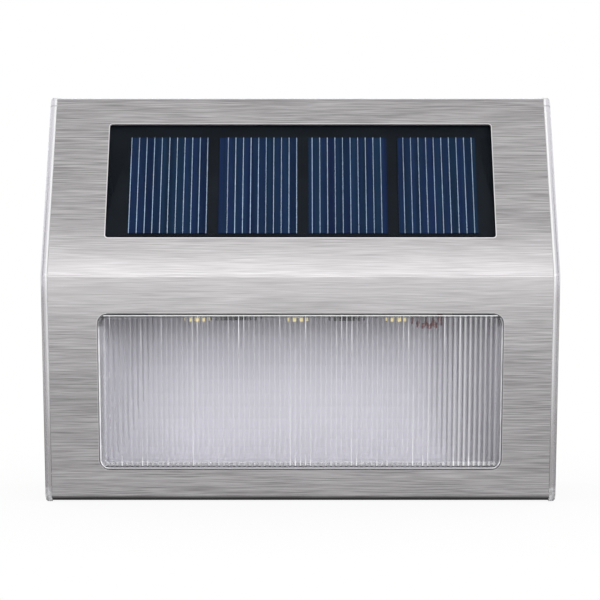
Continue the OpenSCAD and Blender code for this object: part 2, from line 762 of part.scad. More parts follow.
// A moulded choke under the board: a square block with cut corners on two flat pads
module inductor() {
    chamfer = 0.8;
    pad = 0.15;
    pad_w = 1.2;
    pad_at = 0.32 * coil_size.x;
    color("dimgray") placed() on_front() translate([coil_x, board_u, -coil_n]) {
        translate([0, -coil_size.y, 0]) rotate([-90, 0, 0]) linear_extrude(height = coil_size.y - pad)
            intersection() {
                square([coil_size.x, coil_size.z], center = true);
                rotate(45) square((coil_size.x + coil_size.z - 2 * chamfer) / sqrt(2), center = true);
            }
        for (side = [-1, 1]) translate([side * pad_at - pad_w / 2, -pad, pad - coil_size.z / 2])
            cube([pad_w, pad, coil_size.z - 2 * pad]);
    }
}

module board_screws() {
    color("silver") placed() on_front() for (side = [-1, 1])
        translate([side * board_screw_x, board_u, -board_screw_n]) rotate([-90, 0, 0]) {
            cylinder(r = board_screw_r, h = board_screw_len);
            translate([0, 0, -board_screw_head.y]) difference() {
                cylinder(r = board_screw_head.x, h = board_screw_head.y);
                cross_recess(board_screw_head.x * 0.7, board_screw_head.y * 0.55);
            }
        }
}

// Cross recess for a screw driver, cut from z = 0 upwards
module cross_recess(r, depth) {
    for (a = [0, 90]) rotate(a) translate([-r, -r / 5, -cut]) cube([2 * r, r * 0.4, depth + cut]);
}

module battery_holder() {
    color([0.12, 0.12, 0.12]) placed() translate([0, 0, battery_z]) difference() {
        layer(plate_t, holder_d) square([holder_len, holder_w], center = true);
        layer(plate_t + holder_t, holder_d)
            square([holder_len - 2 * holder_t, holder_w - 2 * holder_t], center = true);
        layer(plate_t + holder_d - holder_low, holder_low + cut)
            square([holder_len * holder_open_w, holder_w + cut], center = true);
        for (side = [-1, 1]) translate([side * holder_len / 2, 0, -slit_drop])
            layer(battery_y - tail_w / 2 - fit, holder_d)
            square([2 * holder_t + cut, contact_t + 2 * fit], center = true);
    }
}

module battery_can() {
    r = battery_d / 2 - 0.25;
    color("silver") placed() translate([battery_x, -battery_y, battery_z]) rotate([0, 90, 0]) {
        cylinder(r = r, h = battery_len);
        cylinder(r = nub_r, h = battery_len + nub_len);
    }
}

module battery_sleeve() {
    color("mediumseagreen") placed() translate([battery_x + 0.4, -battery_y, battery_z])
        rotate([0, 90, 0]) difference() {
            cylinder(r = battery_d / 2, h = battery_len - 0.8);
            translate([0, 0, -cut]) cylinder(r = battery_d / 2 - 0.2, h = battery_len + 2 * cut);
        }
}

// A stamped contact lies on a holder's end wall, with a tail through the wall's slit
module contact(side) {
    x = side * (holder_len / 2 - holder_t);
    translate([x - (side > 0 ? contact_t : 0), -battery_y, battery_z]) {
        translate([0, -contact_size.x / 2, -contact_size.y / 2])
            cube([contact_t, contact_size.x, contact_size.y]);
        translate([side > 0 ? 0 : -holder_t - tail_len, -tail_w / 2, -slit_drop - contact_t / 2])
            cube([holder_t + tail_len + contact_t, tail_w, contact_t]);
    }
}

module spring_contact() {
    turns = 3;
    sides = 12;
    wide_r = 3.4;
    narrow_r = 2.2;
    gap = spring_room - contact_t;
    rings = sides * turns;
    coil = [
        for (k = [0 : rings])
            let (a = 360 * k / sides, t = k / rings, r = wide_r + (narrow_r - wide_r) * t)
            [battery_x - gap + spring_d / 2 + (gap - spring_d - fit) * t,
             -battery_y + r * cos(a), battery_z + r * sin(a)]
    ];
    color("gold") placed() {
        contact(-1);
        tube(coil, spring_d / 2, 8, [1, 0, 0]);
    }
}

module plate_contact() {
    dimple_r = [2, 1.4];
    color("silver") placed() {
        contact(1);
        translate([holder_len / 2 - holder_t - contact_t, -battery_y, battery_z]) rotate([0, -90, 0])
            cylinder(r1 = dimple_r.x, r2 = dimple_r.y, h = plate_room - contact_t - thread_fit);
    }
}

module keyhole_2d() {
    circle(keyhole_r);
    slot_2d(slot_r, slot_len);
}

module back_cover() {
    plate_r = 1;
    lip_run = [plate_w * 0.6, plate_h * 0.5];
    lip_at = [inner_x, opening_h / 2] - [1, 1] * (ledge_w + plate_gap + lip_t / 2);
    color([0.1, 0.1, 0.11]) placed() difference() {
        union() {
            translate([0, 0, mid_z]) layer(0, plate_t) plate_2d(plate_w, plate_h, plate_r);
            for (x = [-1, 1]) translate([x * keyhole_span / 2, 0, keyhole_z])
                layer(plate_t - sink, sink + pocket_d + pocket_wall)
                slot_2d(pocket_r + pocket_wall, slot_len);
            translate([0, 0, switch_z]) layer(plate_t / 2, well_back - plate_t / 2)
                plate_2d(well.x + 2 * well_wall, well.y + 2 * well_wall, well_r + well_wall / 2);
            translate([0, 0, mid_z]) layer(plate_t - sink, sink + seal_t + ledge_t) for (side = [-1, 1]) {
                translate([0, side * lip_at.y]) square([lip_run.x, lip_t], center = true);
                translate([side * lip_at.x, 0]) square([lip_t, lip_run.y], center = true);
            }
        }
        for (x = [-1, 1]) translate([x * keyhole_span / 2, 0, keyhole_z]) {
            layer(-cut, plate_t + 2 * cut) keyhole_2d();
            layer(plate_t, pocket_d) slot_2d(pocket_r, slot_len);
        }
        translate([0, 0, switch_z]) {
            layer(-cut, well_floor + cut) plate_2d(well.x, well.y, well_r);
            layer(0, well_back + cut)
                square([knob_w + switch_travel + 2 * knob_gap.x, knob_h + 2 * knob_gap.y], center = true);
            for (x = [-1, 1]) translate([x * ear_span / 2, 0, 0]) layer(well_floor - cut, well_back)
                circle(switch_screw_r + thread_fit);
        }
        for (x = [-boss_x, boss_x], z = boss_z) translate([x, 0, z]) {
            layer(-cut, plate_t + 2 * cut) circle(pilot_r + plate_gap);
            layer(-cut, head_t + fit + cut) circle(head_r + head_gap);
        }
    }
}

module back_seal() {
    seal_in = 0.2;
    color([0.2, 0.2, 0.2]) placed() translate([0, 0, mid_z]) layer(plate_t, seal_t) difference() {
        square([2 * (inner_x - seal_in), opening_h - 2 * seal_in], center = true);
        square([2 * (inner_x - ledge_w + seal_in), opening_h - 2 * (ledge_w - seal_in)], center = true);
    }
}

module back_screws() {
    color("silver") placed() for (x = [-boss_x, boss_x], z = boss_z)
        translate([x, 0, z]) rotate([90, 0, 0]) {
            translate([0, 0, head_t + fit]) cylinder(r = screw_r, h = plate_t + screw_grip);
            translate([0, 0, fit]) difference() {
                cylinder(r = head_r, h = head_t);
                cross_recess(head_r * 0.65, head_t * 0.7);
            }
        }
}

// Places a piece of the switch, with its own Z running inwards from the back of the well
module at_switch() translate([0, -well_back, switch_z]) rotate([90, 0, 0]) children();

module switch_frame() {
    color("lightgray") placed() at_switch() difference() {
        union() {
            linear_extrude(height = frame_t) square([ear_w, frame_size.y], center = true);
            linear_extrude(height = frame_size.z) square([frame_size.x, frame_size.y], center = true);
        }
        translate([0, 0, frame_t]) linear_extrude(height = frame_size.z)
            square([frame_size.x - 2 * frame_t, frame_size.y - 2 * frame_t], center = true);
        translate([0, 0, -cut]) linear_extrude(height = frame_t + 2 * cut)
            square([knob_w + switch_travel + knob_gap.x, knob_h + knob_gap.y], center = true);
        for (x = [-1, 1]) translate([x * ear_span / 2, 0, -cut])
            cylinder(r = switch_screw_r + 2.5 * fit, h = frame_t + 2 * cut);
    }
}

module switch_base() {
    color("saddlebrown") placed() at_switch() translate([0, 0, frame_size.z - base_t])
        linear_extrude(height = base_t)
        square([frame_size.x - 2 * frame_t - fit, frame_size.y - 2 * frame_t - fit], center = true);
}

module switch_pins() {
    color("silver") placed() at_switch() for (k = [-1 : 1])
        translate([k * pin_pitch - pin_size.x / 2, -pin_size.y / 2, frame_size.z])
        cube([pin_size.x, pin_size.y, pin_len]);
}

module switch_screws() {
    head = switch_screw_head;
    color("silver") placed() at_switch() for (x = [-1, 1]) translate([x * ear_span / 2, 0, 0]) {
        translate([0, 0, fit - well_wall]) cylinder(r = switch_screw_r, h = frame_t + well_wall);
        translate([0, 0, frame_t + thread_fit]) difference() {
            cylinder(r = head.x, h = head.y);
            translate([0, 0, head.y]) mirror([0, 0, 1]) cross_recess(head.x * 0.65, head.y * 0.55);
        }
    }
}

// The knob rests at its left stop. Its foot is trapped under the switch's frame.
module switch_knob() {
    knob_in = 1;        // the knob's face below the wall face
    color("white") placed() at_switch() translate([-switch_travel / 2, 0, 0]) {
        translate([0, 0, frame_t + fit]) linear_extrude(height = slider.z)
            square([slider.x, slider.y], center = true);
        translate([0, 0, knob_in - well_back]) linear_extrude(height = well_back - knob_in + frame_t + 2 * fit)
            square([knob_w, knob_h], center = true);
    }
}

module lead(route) tube(smooth(route, 5), lead_d / 2, 8, [0.36, 0.48, 0.8]);

module solar_lead_red() color("firebrick") placed() lead(solar_red_route);
module solar_lead_black() color([0.1, 0.1, 0.1]) placed() lead(solar_black_route);
module battery_lead_red() color("firebrick") placed() lead(battery_red_route);
module battery_lead_black() color([0.1, 0.1, 0.1]) placed() lead(battery_black_route);
module switch_lead_red() color("firebrick") placed() lead(switch_red_route);

front_housing();
steel_cover();
cover_tape();
lens();
reflector();
solar_board();
solar_cells();
cell_fingers();
solar_glaze();
solar_tape();
led_board();
led_left();
led_centre();
led_right();
led_phosphor();
driver_chip();
inductor();
board_screws();
battery_holder();
battery_can();
battery_sleeve();
spring_contact();
plate_contact();
back_cover();
back_seal();
back_screws();
switch_frame();
switch_base();
switch_pins();
switch_screws();
switch_knob();
solar_lead_red();
solar_lead_black();
battery_lead_red();
battery_lead_black();
switch_lead_red();
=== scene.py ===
import math

import bmesh
import bpy
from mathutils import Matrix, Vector


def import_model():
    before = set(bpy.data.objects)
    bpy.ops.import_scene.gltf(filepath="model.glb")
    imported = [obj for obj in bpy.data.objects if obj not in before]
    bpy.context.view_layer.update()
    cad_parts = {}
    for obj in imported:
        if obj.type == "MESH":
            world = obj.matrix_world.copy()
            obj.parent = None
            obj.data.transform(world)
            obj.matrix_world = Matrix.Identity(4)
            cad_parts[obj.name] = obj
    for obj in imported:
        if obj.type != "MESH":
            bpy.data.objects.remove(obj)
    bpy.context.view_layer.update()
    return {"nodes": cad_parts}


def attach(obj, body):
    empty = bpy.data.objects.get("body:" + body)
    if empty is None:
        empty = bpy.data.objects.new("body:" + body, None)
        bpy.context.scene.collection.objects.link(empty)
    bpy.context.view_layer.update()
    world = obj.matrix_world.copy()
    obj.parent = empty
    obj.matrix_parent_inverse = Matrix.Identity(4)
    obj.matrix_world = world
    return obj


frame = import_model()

MM = 0.001
nodes = frame["nodes"]
scene = bpy.context.scene

# Sizes of the light, in millimetres, in the same words as the part's source. The windows and the lens are
# given by their width, height and corner radius.
BODY_H = 93.4
DEPTH_TOP = 16.7
DEPTH_BEND = 45.3
DEPTH_BASE = 36.6
BEND_Z = 53.2
SLOPE_A = math.atan2(BODY_H - BEND_Z, DEPTH_BEND - DEPTH_TOP)
FRONT_A = math.atan2(BEND_Z, DEPTH_BASE - DEPTH_BEND)
SLOPE_LEN = math.hypot(BODY_H - BEND_Z, DEPTH_BEND - DEPTH_TOP)
FRONT_LEN = math.hypot(BEND_Z, DEPTH_BEND - DEPTH_BASE)
SOLAR_WINDOW = (89.5, 31.7, 0.7)
SOLAR_TOP_GAP = 7.4
SOLAR_MID = SLOPE_LEN - SOLAR_TOP_GAP - SOLAR_WINDOW[1] / 2
LENS_WINDOW = (92.8, 37.2, 2.5)
LENS_FOOT_GAP = 7.6
LENS_MID = LENS_FOOT_GAP + LENS_WINDOW[1] / 2
LENS = (92.3, 36.7, 2.25)
RIB_PITCH = 1.175
SIDE_WALL = 1.5
SIDE_WALL_INNER = 57.5


def at(x, y, z):
    """A place over the base, in millimetres, as a vector in the frame."""
    return Vector((x, y, z - BODY_H / 2)) * MM


# Camera: as far and as high as the photograph's, looking slightly down
CAMERA_Y = -645
CAMERA_Z = 88.5
CAMERA_PITCH = 3.916
FOCAL_PX = 2650.2
FRAME_PX = 600
CENTRE_PX = 300.45
SENSOR_MM = 36
CLIP_START = 0.01

camera_data = bpy.data.cameras.new("camera")
camera_data.sensor_width = SENSOR_MM
camera_data.lens = FOCAL_PX / FRAME_PX * SENSOR_MM
camera_data.shift_x = -(CENTRE_PX - FRAME_PX / 2) / FRAME_PX
camera_data.clip_start = CLIP_START
camera = bpy.data.objects.new("camera", camera_data)
camera.location = at(0, CAMERA_Y, CAMERA_Z)
camera.rotation_euler = (math.radians(90 - CAMERA_PITCH), 0, 0)
scene.collection.objects.link(camera)
scene.camera = camera

scene.view_settings.view_transform = "Standard"


class Nodes:
    """A small builder of shader nodes: each call adds a node or a few, and returns an output of the last."""

    def __init__(self, tree):
        self.tree = tree
        self.tree.nodes.clear()

    def add(self, kind, inputs=None, output=0, **settings):
        node = self.tree.nodes.new("ShaderNode" + kind)
        for key, value in settings.items():
            setattr(node, key, value)
        for key, value in (inputs or {}).items():
            self.put(node.inputs[key], value)
        return node.outputs[output]

    def put(self, socket, value):
        if isinstance(value, bpy.types.NodeSocket):
            self.tree.links.new(value, socket)
        else:
            socket.default_value = value

    def light_path(self):
        """The outputs of a Light Path node, by name."""
        return self.add("LightPath").node.outputs

    def xyz(self):
        """Object coordinates in metres, as three sockets."""
        return tuple(self.add("SeparateXYZ", {0: self.add("TexCoord", output="Object")}).node.outputs)

    def coords(self, scale=(1, 1, 1), offset=(0, 0, 0), place=None):
        """A place, which is object coordinates in metres where none is given, scaled and moved."""
        place = place or self.add("TexCoord", output="Object")
        return self.add("Mapping", {"Vector": place, "Scale": scale, "Location": offset})

    def noise(self, vector, scale=1.0, detail=2.0, roughness=0.5):
        return self.add("TexNoise", {"Vector": vector, "Scale": scale, "Detail": detail,
                                     "Roughness": roughness})

    def math(self, operation, a, b=0.0, clamp=False):
        return self.add("Math", {0: a, 1: b}, operation=operation, use_clamp=clamp)

    def product(self, first, *others):
        for other in others:
            first = self.math("MULTIPLY", first, other)
        return first

    def total(self, first, *others):
        for other in others:
            first = self.math("ADD", first, other)
        return first

    def remap(self, value, low, high, to_low=0.0, to_high=1.0, smooth=False):
        kind = "SMOOTHSTEP" if smooth else "LINEAR"
        return self.add("MapRange", {"Value": value, "From Min": low, "From Max": high, "To Min": to_low,
                                     "To Max": to_high}, interpolation_type=kind)

    def between(self, share, start, end):
        """A number that goes from a start, where a share is 0, to an end, where it is 1."""
        return self.remap(share, 0.0, 1.0, start, end)

    def vary(self, noise, low, high):
        """A number that goes with a noise from a low to a high, and is level in the noise's outer parts."""
        return self.remap(noise, 0.3, 0.7, low, high)

    def within(self, value, low, high, soft=0.05):
        """1 where a value in metres lies between two in millimetres, and 0 elsewhere."""
        rise = self.remap(value, (low - soft) * MM, (low + soft) * MM)
        return self.product(rise, self.remap(value, (high - soft) * MM, (high + soft) * MM, 1.0, 0.0))

    def stripe(self, value, middle, width, core=0.4):
        """1 near a middle, down to 0 at a width off it. The value is in metres, and these in millimetres."""
        away = self.math("ABSOLUTE", self.math("SUBTRACT", value, middle * MM))
        return self.remap(away, width * MM, width * core * MM)

    def ramp(self, value, stops):
        node = self.tree.nodes.new("ShaderNodeValToRGB")
        self.put(node.inputs[0], value)
        elements = node.color_ramp.elements
        while len(elements) < len(stops):
            elements.new(0.5)
        for element, (place, color) in zip(elements, stops):
            element.position = place
            element.color = (*color, 1)
        return node.outputs[0]

    def mix_color(self, factor, a, b, blend="MIX"):
        """The Mix node has sockets of one name for each data type, so colours are taken by number."""
        node = self.tree.nodes.new("ShaderNodeMix")
        node.data_type = "RGBA"
        node.blend_type = blend
        self.put(node.inputs[0], factor)
        for socket, value in ((node.inputs[6], a), (node.inputs[7], b)):
            self.put(socket, value if isinstance(value, bpy.types.NodeSocket) else (*value, 1))
        return node.outputs[2]

    def toned(self, color, tone):
        """A colour times a tone, which is one number."""
        return self.mix_color(1.0, color, self.add("CombineColor", {0: tone, 1: tone, 2: tone}), "MULTIPLY")

    def bump(self, height, depth, strength=1.0, normal=None):
        """A bump as deep as given, in millimetres, where the height goes from 0 to 1."""
        inputs = {"Height": height, "Distance": depth * MM, "Strength": strength}
        if normal is not None:
            inputs["Normal"] = normal
        return self.add("Bump", inputs)


class Shader(Nodes):
    """A material and the builder of its nodes."""

    def __init__(self, name):
        self.material = bpy.data.materials.new(name)
        self.material.use_nodes = True
        super().__init__(self.material.node_tree)
        self.out = self.tree.nodes.new("ShaderNodeOutputMaterial")

    def surface(self, shader):
        self.tree.links.new(shader, self.out.inputs["Surface"])
        return self.material

    def principled(self, inputs):
        return self.surface(self.add("BsdfPrincipled", inputs))

    def lamps_pass(self, shader):
        """Lets lamps shine through a clear surface, which would otherwise cast a hard shadow."""
        through = self.add("BsdfTransparent")
        return self.add("MixShader", {0: self.light_path()["Is Shadow Ray"], 1: shader, 2: through})


def grey(value):
    return (value, value, value)


def metres(pair):
    """A pair given in millimetres, in metres."""
    return tuple(value * MM for value in pair)


# Materials. Their places and widths are in millimetres, and a noise's scales are in waves per metre.


def face_place(s):
    """Nodes for a place on the cover: across, up the slope from the bend, and up the front from the base."""
    x, y, z = s.xyz()

    def up(angle, depth, height):
        return s.total(s.product(s.math("ADD", y, depth * MM), math.cos(angle)),
                       s.product(s.math("ADD", z, (BODY_H / 2 - height) * MM), math.sin(angle)))
    return x, up(SLOPE_A, DEPTH_BEND, BEND_Z), up(FRONT_A, DEPTH_BASE, 0)


def face_depth(s):
    """Nodes for how far a place lies outside the slope's plane and the front's, below 0 inside the light."""
    _, y, z = s.xyz()

    def out(angle, depth, height):
        return s.math("SUBTRACT", s.product(s.math("ADD", z, (BODY_H / 2 - height) * MM), math.cos(angle)),
                      s.product(s.math("ADD", y, depth * MM), math.sin(angle)))
    return out(SLOPE_A, DEPTH_BEND, BEND_Z), out(FRONT_A, DEPTH_BASE, 0)


def from_edge(s, x, run, outline, middle):
    """Metres outwards from the edge of a round-cornered outline, and below 0 inside it."""
    half_w, half_h, r = outline[0] / 2, outline[1] / 2, outline[2]
    across = s.math("SUBTRACT", s.math("ABSOLUTE", x), (half_w - r) * MM)
    along = s.math("SUBTRACT", s.math("ABSOLUTE", s.math("SUBTRACT", run, middle * MM)), (half_h - r) * MM)
    square = [s.math("POWER", s.math("MAXIMUM", part, 0.0), 2.0) for part in (across, along)]
    return s.math("SUBTRACT", s.math("SQRT", s.total(*square)), r * MM)


# Steel cover. Each face tilts towards the bend, over a reach, up to an angle in degrees.
CROWN_SLOPE = (15.5, 16)
CROWN_FRONT = (24, 10.5)
STEEL_TINT = (1.0, 0.975, 0.988)
STEEL_TONES = ((0.32, 0.18), (0.5, 0.3), (0.68, 0.42))
STEEL_ROUGHNESS = (0.4, 0.32)
FINE_STREAKS = (100, 5200, 5200)
BROAD_STREAKS = (60, 330, 330)
BROAD_SHARE = 0.13
STREAK_DEPTH = 0.02
STREAK_DRIFT = 0.5
CALM_REACH = 22
CALM_AT_BEND = 0.4
# Painted highlight: the sheet takes this lighter tone along its windows' edges, and a share of it at the
# lens.
RIM_HIGHLIGHT_TONE = 0.62
RIM_CORE = 0.6
SOLAR_RIM_WIDTH = 0.22
LENS_RIM_WIDTH = 0.2
LENS_RIM_SHARE = 0.25
# Painted shade on the bottom bend: below these runs up the front, in millimetres, the sheet's tone falls to
# the factor below.
BASE_BEND_SHADE_RUN = (0.8, 1.75)
BASE_BEND_SHADE_TONE = 0.36


def crown(s, slope_run, front_run):
    """Height of the sheet's slow roll-off towards its long bend, in metres."""
    runs = (slope_run, s.math("SUBTRACT", FRONT_LEN * MM, front_run))
    drops = []
    for run, (reach, tilt) in zip(runs, (CROWN_SLOPE, CROWN_FRONT)):
        left = s.math("MAXIMUM", s.math("SUBTRACT", reach * MM, s.math("MAXIMUM", run, 0.0)), 0.0)
        drops.append(s.product(left, left, -math.tan(math.radians(tilt)) / (2 * reach * MM)))
    return s.total(*drops)


def window_rim(s, x, run, window, middle, width):
    """1 on the sheet within a width of a round-cornered window's edge, and 0 elsewhere."""
    return s.remap(from_edge(s, x, run, window, middle), width * MM, width * RIM_CORE * MM)


def tinted(value):
    return tuple(value * c for c in STEEL_TINT)


def brushed_steel():
    """Sheet brushed along X: long fine streaks in tone, roughness and height, rolled off at the bend, with
    painted highlights along the windows' edges and painted shade on the bottom bend.
    """
    s = Shader("brushed_steel")
    x, slope_run, front_run = face_place(s)
    wave = s.noise(s.coords((25, 60, 60)), 1.0, 2.0)
    drift = s.add("VectorMath", {0: s.add("TexCoord", output="Object"), 1: s.add("CombineXYZ", {
        "Z": s.product(s.math("SUBTRACT", wave, 0.5), STREAK_DRIFT * MM)})}, operation="ADD")
    fine = s.noise(s.coords(FINE_STREAKS, place=drift), 1.0, 2.0, 0.6)
    broad = s.noise(s.coords(BROAD_STREAKS, place=drift), 1.0, 0.0, 0.5)
    streak = s.total(s.product(fine, 1 - BROAD_SHARE), s.product(broad, BROAD_SHARE))
    from_bend = s.math("MAXIMUM", slope_run, s.math("SUBTRACT", FRONT_LEN * MM, front_run))
    calm = s.remap(from_bend, 0.0, CALM_REACH * MM, CALM_AT_BEND, 1.0, smooth=True)
    streak = s.math("ADD", s.product(s.math("SUBTRACT", streak, 0.5), calm), 0.5)
    tone = s.ramp(streak, [(place, tinted(value)) for place, value in STEEL_TONES])
    # Painted highlight along both windows' edges
    solar_rim = window_rim(s, x, slope_run, SOLAR_WINDOW, SOLAR_MID, SOLAR_RIM_WIDTH)
    lens_rim = window_rim(s, x, front_run, LENS_WINDOW, LENS_MID, LENS_RIM_WIDTH)
    rim_highlights = s.math("MAXIMUM", solar_rim, s.product(lens_rim, LENS_RIM_SHARE))
    tone = s.mix_color(rim_highlights, tone, tinted(RIM_HIGHLIGHT_TONE))
    # Painted shade on the bottom bend
    tone = s.toned(tone, s.remap(front_run, *metres(BASE_BEND_SHADE_RUN), BASE_BEND_SHADE_TONE, 1.0, smooth=True))
    # The crown's height is in metres already, so its bump is a whole metre deep
    rolled = s.bump(crown(s, slope_run, front_run), 1 / MM)
    return s.principled({
        "Base Color": tone, "Metallic": 1.0, "Roughness": s.vary(streak, *STEEL_ROUGHNESS),
        "Anisotropic": 0.75, "Anisotropic Rotation": 0.25,
        "Tangent": s.add("CombineXYZ", {"X": 1.0, "Y": 0.0, "Z": 0.0}),
        "Normal": s.bump(streak, STREAK_DEPTH, 0.6, rolled)})


def clear(s, tint, roughness, normal, cloud, straight):
    """Clear plastic: a cloudy share scatters light, and a straight share lets it through unbent.

    The straight share keeps a thick rounded edge from going black.
    """
    glass = s.add("BsdfPrincipled", {
        "Base Color": tint, "Roughness": roughness, "IOR": 1.49,
        "Transmission Weight": s.math("SUBTRACT", 1.0, cloud, clamp=True), "Normal": normal})
    through = s.add("BsdfTransparent", {"Color": tint})
    return s.surface(s.lamps_pass(s.add("MixShader", {0: straight, 1: glass, 2: through})))


# Clear housing. Only its edges in the faces' planes are tinted, with painted shade: from the bend down they
# darken, and towards the base more. The bright line is a painted highlight, the tick painted shade of a
# notch, and the gap a painted shadow line. The dark line, the tick and the gap are given by place and width,
# the bright line by width and fade, and the mottle at the foot by height and fade.
VOLUME_TINT = (0.5, 0.47, 0.53)
VOLUME_DENSITY = 30.0
WALL_TINT = (0.94, 0.94, 0.95)
SLOPE_TINT = (0.93, 0.925, 0.95)
# Painted shade: the tints that the edges darken to down the front and towards the base
LOWER_SHADE_TINT = (0.59, 0.58, 0.57)
BASE_SHADE_TINT = (0.36, 0.35, 0.345)
LOWER_SHADE_RUN = (55, 47)
BASE_SHADE_RUN = (36, 8)
EDGE_DEPTH = (-2.2, -1.4)
BRIGHT_LINE = (0.4, 0.12)
BRIGHT_LINE_TONES = (0.97, 0.8)
BRIGHT_LINE_CLOUD = (0.95, 0.6)
DARK_LINE = (1.0, 0.2)
DARK_LINE_TINT = (0.4, 0.4, 0.41)
DARK_LINE_SHARE = (0.1, 0.5)
# Painted shade of a notch across the wall near its top: its place down from the top, and its width
TOP_NOTCH_SHADE = (2.3, 0.3)
TOP_NOTCH_SHADE_TINT = (0.35, 0.35, 0.38)
TOP_NOTCH_SHADE_SHARE = 0.5
# Painted shadow line in the gap at the lens's foot: its place up the front, and its width
LENS_GAP = (7.46, 0.2)
LENS_GAP_CORE = 0.8
GAP_SHADE_TINT = (0.35, 0.35, 0.36)
FOOT_MOTTLE = (3.2, 0.6)
FOOT_MOTTLE_SHARE = 0.8
RIM_DEPTH = (0.45, 0.25)
RIM_STRAIGHT = (0.4, 0.85)


def housing_material():
    """Clear housing, with painted shade down its front edges and a painted highlight line beside the steel.
    """
    s = Shader("clear_housing")
    x, slope_run, front_run = face_place(s)
    beside = s.math("SUBTRACT", s.math("ABSOLUTE", x), SIDE_WALL_INNER * MM)
    # Painted shade down the front edges: darker from the bend down, and darker still towards the base
    dull = s.remap(front_run, *metres(LOWER_SHADE_RUN), smooth=True)
    deep = s.remap(front_run, *metres(BASE_SHADE_RUN), smooth=True)
    on_edge = s.remap(s.math("MAXIMUM", *face_depth(s)), *metres(EDGE_DEPTH))

    # Painted highlight: a light, whitened line on the wall's edge beside the steel
    line_width, line_fade = BRIGHT_LINE
    line = s.remap(beside, (line_width + line_fade) * MM, line_width * MM)
    line_tint = s.mix_color(dull, *(grey(tone) for tone in BRIGHT_LINE_TONES))
    tint = s.mix_color(dull, SLOPE_TINT, LOWER_SHADE_TINT)
    tint = s.mix_color(line, tint, line_tint)
    tint = s.mix_color(deep, tint, BASE_SHADE_TINT)
    tint = s.mix_color(on_edge, WALL_TINT, tint)

    dark = s.product(s.stripe(beside, *DARK_LINE), s.between(dull, *DARK_LINE_SHARE))
    tint = s.mix_color(dark, tint, DARK_LINE_TINT)
    spots = s.ramp(s.noise(s.coords(), 1500, 2.0), [(0.4, grey(0.4)), (0.6, grey(0.75))])
    foot_height, foot_fade = FOOT_MOTTLE
    foot = s.remap(front_run, (foot_height + foot_fade) * MM, foot_height * MM, 0.0, FOOT_MOTTLE_SHARE)
    tint = s.mix_color(s.product(on_edge, foot), tint, spots)
    # Painted shade of a notch near the top
    tick = s.stripe(slope_run, SLOPE_LEN - TOP_NOTCH_SHADE[0], TOP_NOTCH_SHADE[1])
    tint = s.mix_color(s.product(on_edge, tick, TOP_NOTCH_SHADE_SHARE), tint, TOP_NOTCH_SHADE_TINT)
    # Painted shadow line in the gap at the lens's foot
    gap = s.product(s.math("LESS_THAN", beside, 0.0), s.stripe(front_run, *LENS_GAP, LENS_GAP_CORE))
    tint = s.mix_color(gap, tint, GAP_SHADE_TINT)

    cloud = s.product(line, on_edge, s.between(dull, *BRIGHT_LINE_CLOUD))
    straight = s.remap(beside, *((SIDE_WALL - depth) * MM for depth in RIM_DEPTH), *RIM_STRAIGHT)
    volume = s.add("VolumeAbsorption", {"Color": (*VOLUME_TINT, 1), "Density": VOLUME_DENSITY})
    s.tree.links.new(volume, s.out.inputs["Volume"])
    flow = s.noise(s.coords(), 160, 2.0)
    return clear(s, tint, s.vary(flow, 0.03, 0.07), s.bump(flow, 0.03), cloud, straight)


# Lens. A cloud is the share that scatters light, and every cloud on the lens paints highlights. A pair of
# clouds goes from left to right. Beads are painted highlights, thin bright lines along the lens's edge, given
# by where they start and end, inwards from it. A crest's pair says where its painted highlight starts and is
# full, on a wave that is 1 on each rib's crest and -1 between two ribs.
LENS_TINT = (0.955, 0.955, 0.98)
FRONT_FACE_DEPTH = 1.0
RIB_HIGHLIGHT = 0.13
RIB_END = 0.45
RIB_SOFT = 0.05
LINE_CREST = (0.45, 0.95)
THIN_CREST = (0.88, 0.97)
WIDE_CREST = (-0.6, 0.8)
SHADE_EDGE = (31.0, 38.0)
SHADE_CLOUD = (0.3, 0.1)
SHADE_CLOUD_RUN = (37, 45)
TOP_STREAK_CLOUD = 0.95
TOP_STREAK_NOISE = (0.52, 0.66)
TOP_STREAK_RUN = (2, 13)
FOOT_STREAK_CLOUD = 0.9
FOOT_STREAK_NOISE = (0.56, 0.7)
FOOT_STREAK_RUN = (1, 4)
LONG_STREAK_CLOUD = 0.6
LONG_STREAK_NOISE = (0.6, 0.7)
# Painted light along the lens's sides, top and foot: the rim's whitening, the beads and the glow are painted
# highlights.
SIDE_RIM_WIDTH = 1.4
SIDE_RIM_CLOUD = (0.55, 0.3)
SIDE_RIM_SOFT = 0.2
SIDE_RIM_TOP = (2.6, 3.6)
SIDE_RIM_STRAIGHT = 0.6
SIDE_BEAD = (0.02, 0.28)
SIDE_BEAD_CLOUD = (0.62, 0.33)
SIDE_BEAD_REACH = 0.7
SIDE_BEAD_LEAST = 0.35
SIDE_BEAD_AT_TOP = (0.4, 1.3)
SIDE_BEAD_TOP_RUN = (4, 12)
SIDE_BEAD_AT_FOOT = 0.6
SIDE_BEAD_FOOT_RUN = (3, 14)
TOP_BEAD = (0.17, 0.42)
TOP_BEAD_CLOUD = 0.8
TOP_BEAD_SIDE_GAP = 1.2
FOOT_BEAD = (0.02, 0.42)
FOOT_BEAD_CLOUD = 0.5
FOOT_BEAD_REACH = 0.6
BEAD_SOFT = 0.03
FOOT_GLOW = (0.85, 1.8)
FOOT_GLOW_CLOUD = 0.27
FOOT_GLOW_SOFT = 0.15
# Painted shade: a dark band under the lens's top edge, dark dashes at the ribs' feet, and dark top and foot
# walls
TOP_BAND = (0.59, 0.89)
TOP_BAND_SHARE = 0.55
TOP_BAND_SHADE_TINT = (0.3, 0.3, 0.32)
DASH = (0.5, 0.74)
DASH_SHADE_TINT = (0.06, 0.06, 0.08)
TOP_WALL = (-0.1, 0.03)
FOOT_WALL = (-0.1, 0.02)
WALL_SOFT = 0.02
WALL_SHADE_TINT = (0.25, 0.25, 0.26)
STRAIGHT_SHARE = 0.06


def shaded_end(s, x):
    """0 to 1 towards the right end, where the window's edge keeps light out."""
    return s.remap(x, *metres(SHADE_EDGE), smooth=True)


